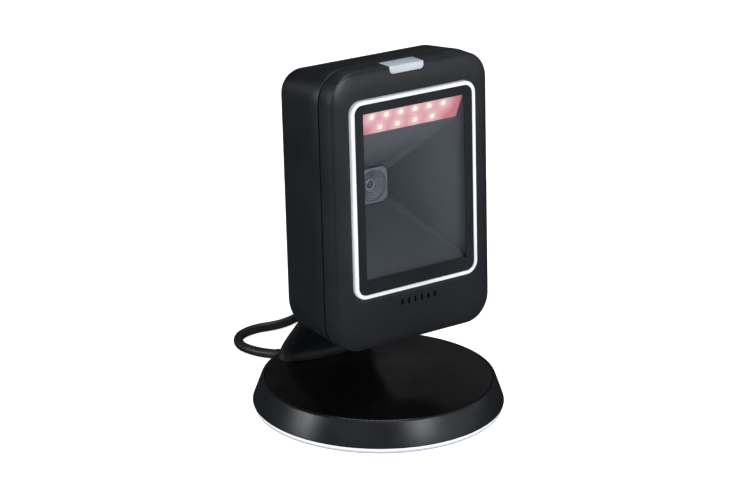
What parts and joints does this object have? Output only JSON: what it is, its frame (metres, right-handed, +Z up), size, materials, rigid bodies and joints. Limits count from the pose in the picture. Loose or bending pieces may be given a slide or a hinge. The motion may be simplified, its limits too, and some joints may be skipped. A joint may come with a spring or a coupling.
{
  "type": "desktop barcode scanner",
  "caption": "Hands-free desktop code scanner: tilting optical head with a framed window on a curved neck and a weighted round base, with a USB lead.",
  "frame": {"origin": "centre of the round base, on the surface it stands on", "axes": "+Z up, the scanner looks along -Y, +X to the right for someone who faces the window"},
  "size_m": [0.13, 0.155, 0.1446],
  "materials": {
    "shell_black": "fine satin texture",
    "face_black": "fine satin texture",
    "plate_gloss": "polished",
    "neck_black": "fine satin texture",
    "ring_white": "satin",
    "cover_white": "satin",
    "clear_window": "polished",
    "mask_black": "printed",
    "foam_black": "closed-cell foam",
    "pipe_silver": "frosted",
    "chamber_grey": "satin",
    "panel_red": "diffusing",
    "led_warm": "clear resin",
    "bezel_grey": "satin",
    "barrel_black": "matte",
    "lens_clear": "polished",
    "board_green": "solder mask",
    "chip_black": "moulded",
    "socket_ivory": "moulded",
    "steel_plated": "zinc plated",
    "steel_ballast": "mill finish",
    "felt_grey": "acoustic felt",
    "rubber_foot": "matte",
    "cord_black": "PVC jacket",
    "tie_black": "hook and loop",
    "plug_black": "overmould",
    "plug_white": "moulded"
  },
  "bodies": {
    "stand": {"base_shell": "shell_black", "base_top_plate": "plate_gloss", "bottom_cover": "cover_white", "ballast_plate": "steel_ballast", "rubber_feet": "rubber_foot", "base_screws": "steel_plated", "neck_front_cover": "neck_black", "neck_rear_shell": "neck_black", "neck_screws": "steel_plated", "hinge_pin": "steel_plated", "hinge_nut": "steel_plated", "friction_washers": "steel_plated", "hinge_caps": "shell_black", "strain_relief": "cord_black", "inner_lead": "cord_black", "lead_clamp": "chip_black", "usb_cable": "cord_black", "cable_coil": "cord_black", "cable_tie": "tie_black", "cable_tail": "cord_black", "usb_plug_body": "plug_black", "usb_plug_shell": "steel_plated", "usb_plug_tongue": "plug_white"},
    "head": {"front_shell": "face_black", "rear_shell": "shell_black", "light_pipe": "pipe_silver", "shell_screws": "steel_plated", "window_ring": "ring_white", "window_glass": "clear_window", "window_mask": "mask_black", "window_gasket": "foam_black", "optical_chamber": "chamber_grey", "illumination_board": "panel_red", "illumination_leds": "led_warm", "lens_bezel": "bezel_grey", "lens_barrel": "barrel_black", "lens_glass": "lens_clear", "lens_carrier": "chip_black", "sensor_board": "board_green", "image_sensor": "chip_black", "main_board": "board_green", "board_screws": "steel_plated", "decoder_chip": "chip_black", "memory_chip": "chip_black", "lead_socket": "socket_ivory", "buzzer": "chip_black", "sounder_felt": "felt_grey", "status_led": "led_warm", "status_board": "board_green", "hinge_lug": "neck_black", "lug_screws": "steel_plated"}
  },
  "joints": [
    {"name": "head_tilt", "type": "hinge", "parent": "stand", "child": "head", "pos_m": [0, 0.0183, 0.045], "axis": [1, 0, 0], "range_deg": [-15, 15]}
  ]
}
